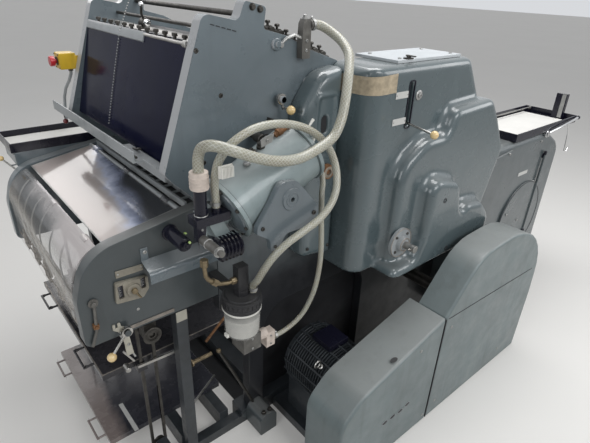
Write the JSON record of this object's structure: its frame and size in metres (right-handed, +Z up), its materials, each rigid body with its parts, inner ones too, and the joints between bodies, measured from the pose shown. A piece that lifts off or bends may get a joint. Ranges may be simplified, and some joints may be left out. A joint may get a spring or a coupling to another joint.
{
  "type": "sheet-fed offset printing press",
  "caption": "Sheet-fed offset printing press with moulded gear cover, clear delivery guards, ink unit, air pump with hoses, belt guards and feeder.",
  "frame": {"origin": "centre of the bounding box at floor level", "axes": "+X from the delivery nose to the feeder end, +Y from the drive side to the operator side, +Z up"},
  "size_m": [2.761, 1.503, 1.5981],
  "materials": {
    "machine_paint": "gloss enamel",
    "dark_paint": "worn enamel",
    "light_paint": "satin enamel",
    "black_gloss": "gloss",
    "bare_steel": "ground",
    "clear_plastic": "clear sheet",
    "ivory_knob": "polished",
    "roller_rubber": "smooth",
    "cream_hose": "matte",
    "yellow_plastic": "moulded",
    "red_plastic": "moulded"
  },
  "bodies": {
    "press": {"base_rails": "dark_paint", "drive_frame": "machine_paint", "operator_frame": "machine_paint", "delivery_frame_drive": "machine_paint", "delivery_frame_operator": "machine_paint", "guard_rods": "bare_steel", "jogger_bar": "light_paint", "lower_pile_board": "black_gloss", "hoist": "bare_steel", "frame_adjuster": "light_paint", "channel_cover": "machine_paint", "ink_frame_drive": "machine_paint", "ink_frame_operator": "machine_paint", "ink_panel": "black_gloss", "guard_bar": "light_paint", "ink_rollers": "roller_rubber", "ink_fountain": "black_gloss", "press_cylinders": "bare_steel", "gear_cover": "machine_paint", "arch_cover": "machine_paint", "cover_lid": "machine_paint", "crank_boss": "light_paint", "lower_belt_guard": "machine_paint", "large_belt_guard": "machine_paint", "drive_shaft": "bare_steel", "motor": "dark_paint", "pump_cylinder": "machine_paint", "pump_bracket": "machine_paint", "pump_head": "black_gloss", "filter_bowl": "clear_plastic", "bowl_bracket": "black_gloss", "air_valve": "machine_paint", "feeder_casing": "machine_paint", "feeder_cover": "machine_paint", "feeder_table": "black_gloss", "side_tray": "black_gloss", "operator_casing": "machine_paint", "operator_tray": "black_gloss", "stop_box": "yellow_plastic", "hose_suction": "cream_hose", "hose_filter": "cream_hose", "hose_drain": "cream_hose"},
    "lid": {"delivery_lid": "clear_plastic"},
    "shield": {"nose_shield": "clear_plastic"},
    "pile_board": {"upper_pile_board": "black_gloss"},
    "delivery_lever_arm": {"delivery_lever": "ivory_knob"},
    "ink_lever_arm": {"ink_lever": "ivory_knob"},
    "slot_lever_arm": {"slot_lever": "ivory_knob"},
    "crank": {"crank_shaft": "bare_steel"},
    "stop_knob": {"stop_button": "red_plastic"}
  },
  "joints": [
    {"name": "lid_hinge", "type": "hinge", "parent": "press", "child": "lid", "pos_m": [-1.0405, 0.1315, 1.024], "axis": [0, 1, 0], "range_deg": [0, 60]},
    {"name": "shield_hinge", "type": "hinge", "parent": "press", "child": "shield", "pos_m": [-1.2965, 0.1315, 0.966], "axis": [0, 1, 0], "range_deg": [0, 60]},
    {"name": "pile_lift", "type": "slide", "parent": "press", "child": "pile_board", "axis": [0, 0, 1], "range_m": [-0.33, 0.13]},
    {"name": "delivery_lever_hinge", "type": "hinge", "parent": "press", "child": "delivery_lever_arm", "pos_m": [-1.2675, -0.3085, 0.712], "axis": [0, 1, 0], "range_deg": [-40, 30]},
    {"name": "ink_lever_hinge", "type": "hinge", "parent": "press", "child": "ink_lever_arm", "pos_m": [-0.7015, -0.3065, 1.327], "axis": [0, 1, 0], "range_deg": [-60, 60]},
    {"name": "slot_lever_hinge", "type": "hinge", "parent": "press", "child": "slot_lever_arm", "pos_m": [-0.2855, -0.3185, 1.251], "axis": [-1, 0, 0], "range_deg": [0, 37]},
    {"name": "crank_turn", "type": "hinge", "parent": "press", "child": "crank", "pos_m": [-0.3065, -0.5485, 0.796], "axis": [0, 1, 0], "continuous": true},
    {"name": "stop_press", "type": "slide", "parent": "press", "child": "stop_knob", "axis": [1, 0, 0], "range_m": [0, 0.005], "stiffness_N_per_m": 600}
  ]
}
